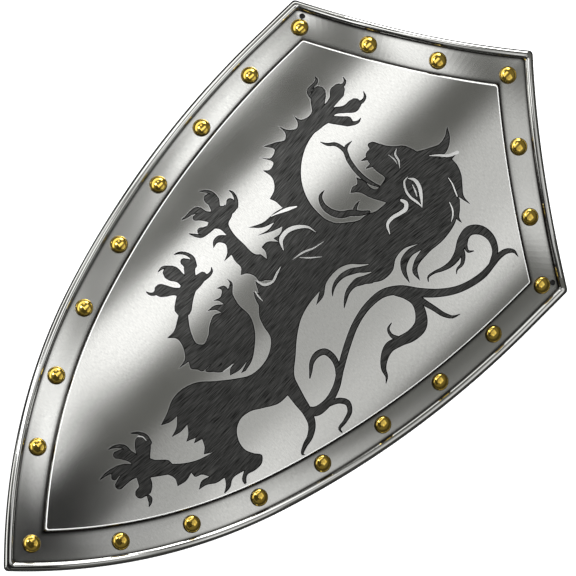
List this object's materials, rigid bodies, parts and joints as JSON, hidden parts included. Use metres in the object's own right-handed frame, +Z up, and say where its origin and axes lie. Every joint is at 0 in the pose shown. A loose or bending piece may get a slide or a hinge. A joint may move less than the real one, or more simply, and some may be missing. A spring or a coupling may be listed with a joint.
{
  "type": "heater shield",
  "caption": "Heater shield of sheet steel bent about its length, with a rolled rim, a hollow border with round brass rivets, and a raised field etched with a rampant lion.",
  "frame": {"origin": "middle of the shield's outline, on the surface it lies on", "axes": "+Y from the tip to the peak, +X to the bearer's left across the face, +Z up out of the face"},
  "size_m": [0.3752, 0.6957, 0.0574],
  "materials": {
    "steel": "satin brushed sheet with a polished rim and a blackened etched figure",
    "brass": "polished"
  },
  "bodies": {
    "root": {"shield_plate": "steel", "rivet_tip": "brass", "rivet_peak": "brass", "rivet_corner_right": "brass", "rivet_corner_left": "brass", "rivet_top_1_right": "brass", "rivet_top_1_left": "brass", "rivet_top_2_right": "brass", "rivet_top_2_left": "brass", "rivet_side_1_right": "brass", "rivet_side_1_left": "brass", "rivet_side_2_right": "brass", "rivet_side_2_left": "brass", "rivet_side_3_right": "brass", "rivet_side_3_left": "brass", "rivet_side_4_right": "brass", "rivet_side_4_left": "brass", "rivet_side_5_right": "brass", "rivet_side_5_left": "brass", "rivet_side_6_right": "brass", "rivet_side_6_left": "brass", "rivet_side_7_right": "brass", "rivet_side_7_left": "brass"}
  },
  "joints": []
}
